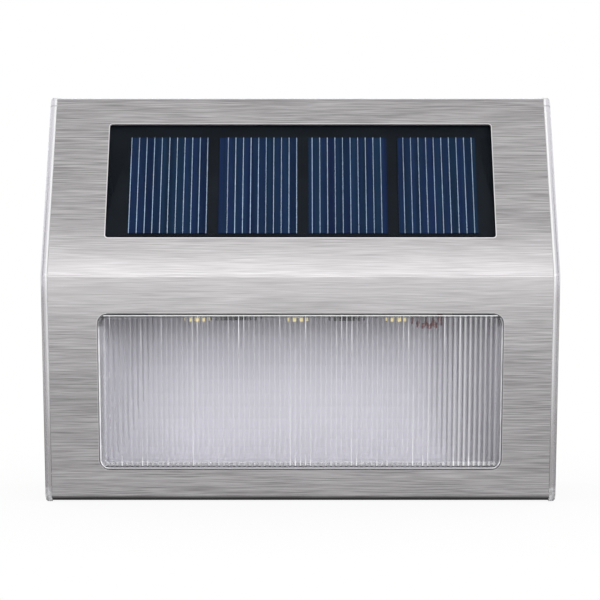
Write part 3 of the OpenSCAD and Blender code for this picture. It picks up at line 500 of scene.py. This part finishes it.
def rib_highlights(s, x, crest, inside, from_top, from_foot):
    """Painted highlights on the ribs: faint on each crest, wide at the shaded end, and bright in a few thin
    streaks.
    """
    ribbed = s.remap(inside, (RIB_END - RIB_SOFT) * MM, (RIB_END + RIB_SOFT) * MM)
    line = s.product(s.remap(crest, *LINE_CREST, smooth=True), ribbed)
    thin = s.product(s.remap(crest, *THIN_CREST), ribbed)
    wide = s.product(s.remap(crest, *WIDE_CREST, smooth=True), ribbed)
    uneven = s.vary(s.noise(s.coords((850, 0, 6)), 1.0, 1.0), 0.4, 1.6)
    high = s.noise(s.coords((1100, 0, 30), (11, 0, 5)), 1.0, 1.0)
    low = s.noise(s.coords((1300, 0, 60), (7, 0, 2)), 1.0, 1.0)
    long = s.noise(s.coords((1000, 0, 7), (3, 0, 9)), 1.0, 1.0)
    top = s.remap(from_top, *metres(TOP_STREAK_RUN), 1.0, 0.0, smooth=True)
    foot = s.remap(from_foot, *metres(FOOT_STREAK_RUN), 1.0, 0.0, smooth=True)
    end_cloud = s.remap(x, *metres(SHADE_CLOUD_RUN), *SHADE_CLOUD)
    return [s.product(line, uneven, RIB_HIGHLIGHT),
            s.product(wide, shaded_end(s, x), end_cloud),
            s.product(thin, s.remap(high, *TOP_STREAK_NOISE, 0.0, TOP_STREAK_CLOUD), top),
            s.product(thin, s.remap(low, *FOOT_STREAK_NOISE, 0.0, FOOT_STREAK_CLOUD), foot),
            s.product(thin, s.remap(long, *LONG_STREAK_NOISE, 0.0, LONG_STREAK_CLOUD))]


def lens_material():
    """Clear ribbed lens: painted highlights on rib crests, streaks and edges, painted shade at its top, foot
    and rib ends; clear sides.
    """
    s = Shader("clear_lens")
    x, _, run = face_place(s)
    half_w = LENS[0] / 2 * MM
    half_h = LENS[1] / 2
    front = s.math("GREATER_THAN", face_depth(s)[1], -FRONT_FACE_DEPTH * MM)
    inside = s.math("MULTIPLY", from_edge(s, x, run, LENS, LENS_MID), -1.0)
    from_side = s.math("SUBTRACT", half_w, s.math("ABSOLUTE", x))
    from_top = s.math("SUBTRACT", (LENS_MID + half_h) * MM, run)
    from_foot = s.math("SUBTRACT", run, (LENS_MID - half_h) * MM)
    crest = s.math("COSINE", s.math("MULTIPLY", x, 2 * math.pi / (RIB_PITCH * MM)))

    def across(left, right):
        return s.remap(x, -half_w, half_w, left, right)

    # Painted highlights along the lens's edges
    rim = s.product(s.within(from_side, -1, SIDE_RIM_WIDTH, SIDE_RIM_SOFT),
                    s.remap(from_top, *metres(SIDE_RIM_TOP)))
    bead = s.within(inside, *SIDE_BEAD, BEAD_SOFT)
    broken = s.remap(s.noise(s.coords((0, 0, 160)), 1.0, 2.0), 0.4, 0.6, SIDE_BEAD_LEAST, 1.0)
    top_bead = s.product(s.within(from_top, *TOP_BEAD, BEAD_SOFT),
                         s.math("GREATER_THAN", from_side, TOP_BEAD_SIDE_GAP * MM), TOP_BEAD_CLOUD)
    side_beads = s.product(bead, s.within(from_side, -1, SIDE_BEAD_REACH), broken, across(*SIDE_BEAD_CLOUD),
                           s.remap(from_top, *metres(SIDE_BEAD_TOP_RUN), across(*SIDE_BEAD_AT_TOP), 1.0),
                           s.remap(from_foot, *metres(SIDE_BEAD_FOOT_RUN), SIDE_BEAD_AT_FOOT, 1.0))
    foot_bead = s.product(s.within(inside, *FOOT_BEAD, BEAD_SOFT), s.within(from_foot, -1, FOOT_BEAD_REACH),
                          FOOT_BEAD_CLOUD)
    glow = s.product(s.within(from_foot, *FOOT_GLOW, FOOT_GLOW_SOFT), FOOT_GLOW_CLOUD)
    clouds = [*rib_highlights(s, x, crest, inside, from_top, from_foot), s.product(rim, across(*SIDE_RIM_CLOUD)),
              top_bead, side_beads, foot_bead, glow]
    cloud = s.product(s.total(*clouds), front)

    # Painted shade at the ribs' feet, under the top edge, and on the top and foot walls
    dash = s.product(front, s.within(from_foot, *DASH), s.remap(crest, -0.3, 0.3))
    tint = s.mix_color(dash, LENS_TINT, DASH_SHADE_TINT)
    tint = s.mix_color(s.product(front, s.within(from_top, *TOP_BAND), TOP_BAND_SHARE), tint, TOP_BAND_SHADE_TINT)
    wall = s.math("MAXIMUM", s.within(from_top, *TOP_WALL, WALL_SOFT),
                  s.within(from_foot, *FOOT_WALL, WALL_SOFT))
    tint = s.mix_color(wall, tint, WALL_SHADE_TINT)

    straight = s.math("ADD", s.product(rim, s.math("SUBTRACT", 1.0, bead), SIDE_RIM_STRAIGHT), STRAIGHT_SHARE)
    straight = s.math("MAXIMUM", straight, wall)
    ripple = s.noise(s.coords((1300, 22, 22)), 1.0, 2.0, 0.5)
    gloss = s.remap(s.noise(s.coords(), 900, 2.0), 0.35, 0.65, 0.02, 0.045)
    return clear(s, tint, gloss, s.bump(ripple, 0.008), cloud, straight)


# Reflector. Its tones are factors of painted light and shade, and its places are down from the lens's top or
# across from the middle.
REFLECTOR = (0.53, 0.52, 0.565)
TOP_SHADE_TONE = 0.58
TOP_RUN = (1, 9.5)
MIDDLE_LIGHT_TONE = 1.1
MIDDLE_BAND = (14, 24)
LEFT_SHADE_TONE = 0.77
LEFT_RUN = (-44, -22)
SHADE_TONE = 0.6


def reflector_material():
    """Smooth white moulding, with painted shade towards its top and both ends, and painted light across its
    middle.
    """
    s = Shader("reflector_white")
    x, _, z = s.xyz()
    lens_top = (LENS_MID + LENS[1] / 2 - BODY_H / 2) * MM
    top = s.remap(z, lens_top - TOP_RUN[0] * MM, lens_top - TOP_RUN[1] * MM, TOP_SHADE_TONE, 1.0, smooth=True)
    middle = s.remap(z, lens_top - MIDDLE_BAND[1] * MM, lens_top - MIDDLE_BAND[0] * MM, smooth=True)
    left = s.remap(x, *metres(LEFT_RUN), LEFT_SHADE_TONE, 1.0, smooth=True)
    slow = s.vary(s.noise(s.coords(), 60, 3.0), 0.97, 1.03)
    # Painted shade towards the top, the left end and the shaded right end, and painted light across the
    # middle; slow is random tone
    tone = s.product(s.product(top, s.between(middle, 1.0, MIDDLE_LIGHT_TONE), left),
                     s.product(s.between(shaded_end(s, x), 1.0, SHADE_TONE), slow))
    rough = s.vary(s.noise(s.coords(), 240, 3.0), 0.21, 0.29)
    grain = s.noise(s.coords(), 1250, 3.0, 0.6)
    return s.principled({"Base Color": s.toned(REFLECTOR, tone), "Roughness": rough,
                         "Normal": s.bump(grain, 0.006)})


def plastic(name, color, roughness, grain_size=0.4, grain_depth=0.02, spread=0.06, specular=0.5):
    """Plastic or a coating: fine grain, with size and depth in mm, and slow changes of tone and gloss."""
    s = Shader(name)
    low = tuple(c * (1 - spread) for c in color)
    high = tuple(min(c * (1 + spread), 1) for c in color)
    tone = s.mix_color(s.vary(s.noise(s.coords(), 60, 3.0), 0.0, 1.0), low, high)
    rough = s.vary(s.noise(s.coords(), 240, 3.0), roughness * 0.85, min(roughness * 1.15, 1))
    grain = s.noise(s.coords(), 1 / (grain_size * MM), 3.0, 0.6)
    return s.principled({"Base Color": tone, "Roughness": rough, "Specular IOR Level": specular,
                         "Normal": s.bump(grain, grain_depth)})


def phosphor():
    """Yellow phosphor under silicone, with a painted glow."""
    s = Shader("phosphor")
    grain = s.noise(s.coords(), 6000, 3.0, 0.6)
    tone = s.mix_color(s.vary(grain, 0.0, 1.0), (0.9, 0.72, 0.26), (1.0, 0.89, 0.46))
    # Painted glow: the phosphor emits a little of its own tone
    return s.principled({"Base Color": tone, "Roughness": 0.4, "Emission Color": tone,
                         "Emission Strength": 0.4, "Normal": s.bump(grain, 0.02)})


def metal(name, color, roughness, scratch=(300, 300, 300), depth=0.01):
    """Plated or tinned metal with fine handling marks."""
    s = Shader(name)
    marks = s.noise(s.coords(scratch), 4.0, 4.0, 0.65)
    tone = s.mix_color(s.vary(marks, 0.0, 1.0), tuple(c * 0.82 for c in color), color)
    return s.principled({"Base Color": tone, "Metallic": 1.0, "Normal": s.bump(marks, depth),
                         "Roughness": s.vary(marks, roughness * 1.3, roughness * 0.8)})


NAVY = ((0.004, 0.0105, 0.038), (0.008, 0.02, 0.066))
TEAL = ((0.004, 0.014, 0.032), (0.008, 0.026, 0.057))


def silicon():
    """Dark wafer, in faint upright bands that turn from navy to teal."""
    s = Shader("silicon")
    band = s.remap(s.noise(s.coords((700, 12, 12)), 1.0, 2.0, 0.6), 0.35, 0.65)
    hue = s.remap(s.noise(s.coords((800, 8, 8), (3, 5, 7)), 1.0, 1.0), 0.36, 0.64)
    texture = s.noise(s.coords((1800, 700, 700)), 1.0, 3.0, 0.7)
    tone = s.mix_color(hue, s.mix_color(band, *NAVY), s.mix_color(band, *TEAL))
    return s.principled({"Base Color": tone, "Roughness": 0.35, "Specular IOR Level": 0.09,
                         "Normal": s.bump(texture, 0.0005)})


# Printed fingers, in the same words as the part's source. FIRST_FINGER is the first one's place on each cell,
# from the cell's left edge.
CELL_W = 18.2
CELL_PITCH = 20.8
CELL_SHIFT = 0.6
FIRST_FINGER = (0.2, 2, 0.83, 1.3)
FINGER_PITCH = 1.78
FINGER_RIDGE = 0.19
RIDGE_FLANK = 0.03
PASTE_DARK = (0.012, 0.025, 0.06)
PASTE_BRIGHT = ((0.5, 0.62, 0.76), (0.6, 0.73, 0.88))


def finger_print():
    """Silver paste printed as thin lines: a bright ridge, with thin dark paste at both its edges."""
    s = Shader("finger_silver")
    x = face_place(s)[0]
    count = len(FIRST_FINGER)
    centres = [CELL_SHIFT + (index - (count - 1) / 2) * CELL_PITCH for index in range(count)]
    starts = [centre - CELL_W / 2 + first for centre, first in zip(centres, FIRST_FINGER)]
    start = starts[0] * MM
    for centre, before, after in zip(centres[1:], starts, starts[1:]):
        past_gap = s.math("GREATER_THAN", x, (centre - CELL_PITCH / 2) * MM)
        start = s.math("ADD", s.math("MULTIPLY", past_gap, (after - before) * MM), start)
    half_pitch = FINGER_PITCH / 2 * MM
    aside = s.add("Math", {0: s.math("SUBTRACT", x, start), 1: half_pitch, 2: -half_pitch}, operation="WRAP")
    ragged = s.vary(s.noise(s.coords((900, 2600, 2600)), 1.0, 2.0), 0.8, 1.2)
    half = s.math("MULTIPLY", ragged, FINGER_RIDGE / 2 * MM)
    inside = s.math("SUBTRACT", half, s.math("ABSOLUTE", aside))
    ridge = s.math("DIVIDE", inside, RIDGE_FLANK * MM, clamp=True)
    marks = s.noise(s.coords((800, 60, 60)), 4.0, 4.0, 0.65)
    tone = s.mix_color(ridge, PASTE_DARK, s.mix_color(s.vary(marks, 0.0, 1.0), *PASTE_BRIGHT))
    return s.principled({"Base Color": tone, "Metallic": 1.0, "Roughness": s.vary(marks, 0.55, 0.45),
                         "Normal": s.bump(ridge, 0.01)})


def resin():
    """Clear cast resin over the cells, with a few slow waves.

    It bends and mirrors nothing, because so faint a mirror only adds noise. What lies under it has the gloss.
    """
    s = Shader("clear_resin")
    wave = s.noise(s.coords(), 55, 2.0)
    cast = s.add("BsdfPrincipled", {"Base Color": (0.9, 0.93, 0.97, 1), "Roughness": 0.06, "IOR": 1.0,
                                    "Transmission Weight": 1.0, "Normal": s.bump(wave, 0.01)})
    return s.surface(s.lamps_pass(cast))


black_moulding = plastic("black_moulding", (0.016, 0.016, 0.017), 0.5, 0.35, 0.03)
package_white = plastic("package_white", (0.78, 0.77, 0.72), 0.45)
wire_red = plastic("wire_red", (0.1, 0.003, 0.007), 0.4, 0.6, 0.01)
wire_black = plastic("wire_black", (0.012, 0.012, 0.012), 0.4, 0.6, 0.01)
zinc = metal("zinc", (0.62, 0.63, 0.63), 0.25)
nickel = metal("nickel", (0.66, 0.63, 0.57), 0.22)
tin = metal("tin", (0.6, 0.6, 0.61), 0.3, (900, 900, 900))

LOOKS = {
    "steel_cover": brushed_steel(),
    "front_housing": housing_material(),
    "lens": lens_material(),
    "reflector": reflector_material(),
    "cover_tape": plastic("tape_white", (0.72, 0.72, 0.7), 0.7, 0.3, 0.03),
    "solar_tape": plastic("foam_grey", (0.09, 0.09, 0.095), 0.9, 0.3, 0.08),
    "solar_board": plastic("board_black", (0.0078, 0.0105, 0.0142), 0.4, 0.3, 0.004, 0.15, 0.08),
    "solar_cells": silicon(),
    "cell_fingers": finger_print(),
    "solar_glaze": resin(),
    "led_board": plastic("board_white", (0.45, 0.44, 0.42), 0.35, 0.3, 0.006),
    "led_left": package_white,
    "led_centre": package_white,
    "led_right": package_white,
    "led_phosphor": phosphor(),
    "driver_chip": plastic("package_black", (0.012, 0.012, 0.013), 0.55, 0.2, 0.02),
    "board_screws": zinc,
    "battery_holder": black_moulding,
    "battery_can": metal("can_nickel", (0.64, 0.63, 0.6), 0.28, (40, 600, 600)),
    "battery_sleeve": plastic("sleeve_green", (0.02, 0.17, 0.06), 0.25, 2.0, 0.01),
    "spring_contact": nickel,
    "plate_contact": nickel,
    "back_cover": black_moulding,
    "back_seal": plastic("seal_black", (0.02, 0.02, 0.02), 0.75, 0.4, 0.04),
    "back_screws": zinc,
    "switch_frame": zinc,
    "switch_base": plastic("laminate_brown", (0.12, 0.05, 0.02), 0.6, 0.3, 0.03),
    "switch_pins": nickel,
    "switch_screws": zinc,
    "switch_knob": plastic("white_knob", (0.75, 0.75, 0.73), 0.4),
    "solar_lead_red": wire_red,
    "solar_lead_black": wire_black,
    "battery_lead_red": wire_red,
    "battery_lead_black": wire_black,
    "switch_lead_red": wire_red,
}
LOOKS["inductor"] = LOOKS["driver_chip"]
for name, node in nodes.items():
    node.data.materials.clear()
    node.data.materials.append(LOOKS[name])


# Edges. A piece's width is what a bevel takes off its sharp edges, in millimetres.
SMOOTH_DEGREES = 35
SHARP_DEGREES = 50
WELD = 0.002
EDGES = {"back_cover": 0.25, "switch_knob": 0.2, "battery_holder": 0.2, "switch_frame": 0.1, "inductor": 0.12}


def smooth_group():
    """A modifier that shades smooth across edges flatter than an angle."""
    tree = bpy.data.node_groups.new("smooth_by_angle", "GeometryNodeTree")
    tree.interface.new_socket("Geometry", in_out="INPUT", socket_type="NodeSocketGeometry")
    angle = tree.interface.new_socket("Angle", in_out="INPUT", socket_type="NodeSocketFloat")
    angle.default_value = math.radians(SMOOTH_DEGREES)
    tree.interface.new_socket("Geometry", in_out="OUTPUT", socket_type="NodeSocketGeometry")
    start = tree.nodes.new("NodeGroupInput")
    end = tree.nodes.new("NodeGroupOutput")
    faces = tree.nodes.new("GeometryNodeSetShadeSmooth")
    faces.domain = "FACE"
    edges = tree.nodes.new("GeometryNodeSetShadeSmooth")
    edges.domain = "EDGE"
    edges.inputs["Shade Smooth"].default_value = False
    bend = tree.nodes.new("GeometryNodeInputMeshEdgeAngle")
    sharp = tree.nodes.new("FunctionNodeCompare")
    sharp.operation = "GREATER_THAN"
    link = tree.links.new
    link(start.outputs["Geometry"], faces.inputs["Geometry"])
    link(faces.outputs["Geometry"], edges.inputs["Geometry"])
    link(bend.outputs["Unsigned Angle"], sharp.inputs[0])
    link(start.outputs["Angle"], sharp.inputs[1])
    link(sharp.outputs["Result"], edges.inputs["Selection"])
    link(edges.outputs["Geometry"], end.inputs["Geometry"])
    return tree


SMOOTH = smooth_group()


def soften(piece, width=None):
    """Breaks a piece's sharp edges by a width, where one is given, and shades its curved faces smooth."""
    if width:
        weld = piece.modifiers.new("weld", "WELD")
        weld.merge_threshold = WELD * MM
        bevel = piece.modifiers.new("edges", "BEVEL")
        bevel.width = width * MM
        bevel.segments = 1
        bevel.limit_method = "ANGLE"
        bevel.angle_limit = math.radians(SHARP_DEGREES)
    smooth = piece.modifiers.new("smooth", "NODES")
    smooth.node_group = SMOOTH


for name, node in nodes.items():
    soften(node, EDGES.get(name))


# Solder joints: each covers a lead's bare end and wets the pad, pin or tail that it meets. An end is given by
# its place in the frame, the direction in which the lead leaves off, and the joint's radius, in millimetres.
# The places and directions were read from the leads' meshes, and lie up to 0.2 mm off the leads' axes.
LEAD_ENDS = {
    "solder_solar_red": (((39.08, -30.6, 22.02), (-0.04, -0.91, 0.41), 0.8),
                         ((19.92, -31.71, -1.37), (0.15, 0.31, -0.94), 1.1)),
    "solder_solar_black": (((39.2, -27.17, 26.88), (-0.17, -0.94, 0.28), 0.8),
                           ((12.91, -31.72, -1.38), (0.13, 0.22, -0.97), 1.1)),
    "solder_battery_red": (((31.5, -10.73, 22.92), (-0.12, -0.19, 0.97), 0.75),
                           ((3.06, -12.38, -22.63), (0.17, 0.96, 0.23), 0.6)),
    "solder_battery_black": (((-31.41, -10.72, 22.92), (0.11, -0.25, 0.96), 0.75),
                             ((-24.05, -31.68, -1.35), (-0.14, 0.23, -0.96), 1.1)),
    "solder_switch_red": (((0.04, -12.36, -22.62), (-0.04, 0.99, 0.17), 0.6),
                          ((27.24, -35.82, -3.57), (0.13, -0.28, 0.95), 1.0)),
}
# The part inside the insulation, by height and radius, and then the fillet, by height and share of the radius
BARE_END = ((-0.25, 0.3), (0.0, 0.31))
FILLET = ((0.05, 0.36), (0.12, 0.55), (0.18, 0.8), (0.24, 1.0), (0.3, 1.02), (0.34, 0.9))
FILLET_LEAST = 0.28
SOLDER_UNEVEN = 0.05
SOLDER_SIDES = 20


def solder(name, ends):
    """One mesh of fillets turned about their leads' ends, a little uneven as hand soldering is."""
    shape = bmesh.new()
    for index, (place, along, radius) in enumerate(ends):
        turn = Vector(along).normalized().to_track_quat("Z", "Y").to_matrix()
        profile = [(height, width, width) for height, width in BARE_END]
        profile += [(height, share, max(FILLET_LEAST, share * radius)) for height, share in FILLET]
        rings = []
        for height, share, width in profile:
            ring = []
            for side in range(SOLDER_SIDES):
                angle = 2 * math.pi * side / SOLDER_SIDES
                uneven = 1 + SOLDER_UNEVEN * math.sin(3 * angle + 2 * index) * share
                spot = Vector((math.cos(angle) * width * uneven, math.sin(angle) * width * uneven, height))
                ring.append(shape.verts.new((Vector(place) + turn @ spot) * MM))
            rings.append(ring)
        for low, high in zip(rings, rings[1:]):
            for side in range(SOLDER_SIDES):
                after = (side + 1) % SOLDER_SIDES
                shape.faces.new((low[side], low[after], high[after], high[side]))
        shape.faces.new(rings[0][::-1])
        shape.faces.new(rings[-1])
    mesh = bpy.data.meshes.new(name)
    shape.to_mesh(mesh)
    shape.free()
    piece = bpy.data.objects.new(name, mesh)
    scene.collection.objects.link(piece)
    piece.data.materials.append(tin)
    soften(piece)
    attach(piece, "light")


for name, ends in LEAD_ENDS.items():
    solder(name, ends)


# Floor, backdrop and light, in metres. SHADOW_SEEN and SHADOW_MIRRORED are the shares of the floor's shadow
# that show. A lamp's radiance is 1 at LAMP_WATTS per square metre.
WHITE = (1, 1, 1, 1)
PAPER = (0.86, 0.86, 0.86, 1)
FLOOR_GAP = 0.00002
FLOOR_SIZE = 60
FLOOR_REACH = 0.08
SHADOW_SEEN = 0.08
SHADOW_MIRRORED = 0.05
CONTACT_REACH = 0.0025
CONTACT_POWER = 1.5
FLOOR_MIRRORED = 0.9
WORLD_LEVEL = 0.3
LAMP_WATTS = 4
SHADOW_SAMPLES = 8


def seen_ray(s, path):
    """1 for a ray from the camera, also by mirror or through glass, and 0 once it has met a matt surface."""
    seen = s.math("MAXIMUM", path["Is Camera Ray"], path["Is Transmission Ray"])
    seen = s.math("MAXIMUM", seen, path["Is Glossy Ray"])
    return s.math("MULTIPLY", seen, s.math("LESS_THAN", path["Diffuse Depth"], 0.5))


def floor_material():
    """Pale floor: lit paper for soft light, and white with the object's soft shadow where it is seen."""
    s = Shader("floor_paper")
    path = s.light_path()
    paper = s.add("BsdfDiffuse", {"Color": PAPER})
    shade = s.add("AmbientOcclusion", {"Distance": FLOOR_REACH}, output="AO", samples=SHADOW_SAMPLES)
    share = s.product(s.between(path["Is Camera Ray"], 1.0, SHADOW_SEEN),
                      s.between(path["Is Glossy Ray"], 1.0, SHADOW_MIRRORED))
    level = s.total(s.product(shade, share), s.math("SUBTRACT", 1.0, share))
    near = s.add("AmbientOcclusion", {"Distance": CONTACT_REACH}, output="AO", samples=SHADOW_SAMPLES)
    contact = s.math("POWER", near, s.product(path["Is Glossy Ray"], CONTACT_POWER))
    level = s.product(level, s.between(path["Is Glossy Ray"], 1.0, FLOOR_MIRRORED), contact)
    seen = s.add("Emission", {"Color": WHITE, "Strength": level})
    return s.surface(s.add("MixShader", {0: seen_ray(s, path), 1: paper, 2: seen}))


def floor():
    mesh = bpy.data.meshes.new("floor")
    z = -BODY_H / 2 * MM - FLOOR_GAP
    corners = [(x * FLOOR_SIZE, y * FLOOR_SIZE, z) for x, y in ((-1, -1), (1, -1), (1, 1), (-1, 1))]
    mesh.from_pydata(corners, [], [(0, 1, 2, 3)])
    piece = bpy.data.objects.new("floor", mesh)
    scene.collection.objects.link(piece)
    piece.data.materials.append(floor_material())


def world():
    """White where it is seen, in a mirror or through glass too, and a plain level of soft light."""
    sky = bpy.data.worlds.new("studio")
    scene.world = sky
    sky.use_nodes = True
    s = Nodes(sky.node_tree)
    lit, shown = (s.add("Background", {"Color": WHITE, "Strength": level}) for level in (WORLD_LEVEL, 1.0))
    mix = s.add("MixShader", {0: seen_ray(s, s.light_path()), 1: lit, 2: shown})
    s.tree.links.new(mix, s.tree.nodes.new("ShaderNodeOutputWorld").inputs["Surface"])


def softbox(name, place, aim, size, radiance):
    """A soft rectangular lamp at a place, aimed at a point, in metres; a white wall's radiance is 1."""
    data = bpy.data.lights.new(name, "AREA")
    data.shape = "RECTANGLE"
    data.size, data.size_y = size
    data.energy = radiance * LAMP_WATTS * size[0] * size[1]
    lamp = bpy.data.objects.new(name, data)
    lamp.location = place
    lamp.rotation_euler = (Vector(aim) - Vector(place)).to_track_quat("-Z", "Y").to_euler()
    lamp.visible_camera = False
    lamp.visible_transmission = False
    scene.collection.objects.link(lamp)


floor()
world()
softbox("key", (-0.03, -0.8, 0.33), (0, 0, 0), (0.6, 0.66), 2.4)
softbox("side", (0.62, -0.6, 0.4), (0, 0, 0), (0.5, 0.5), 3.8)
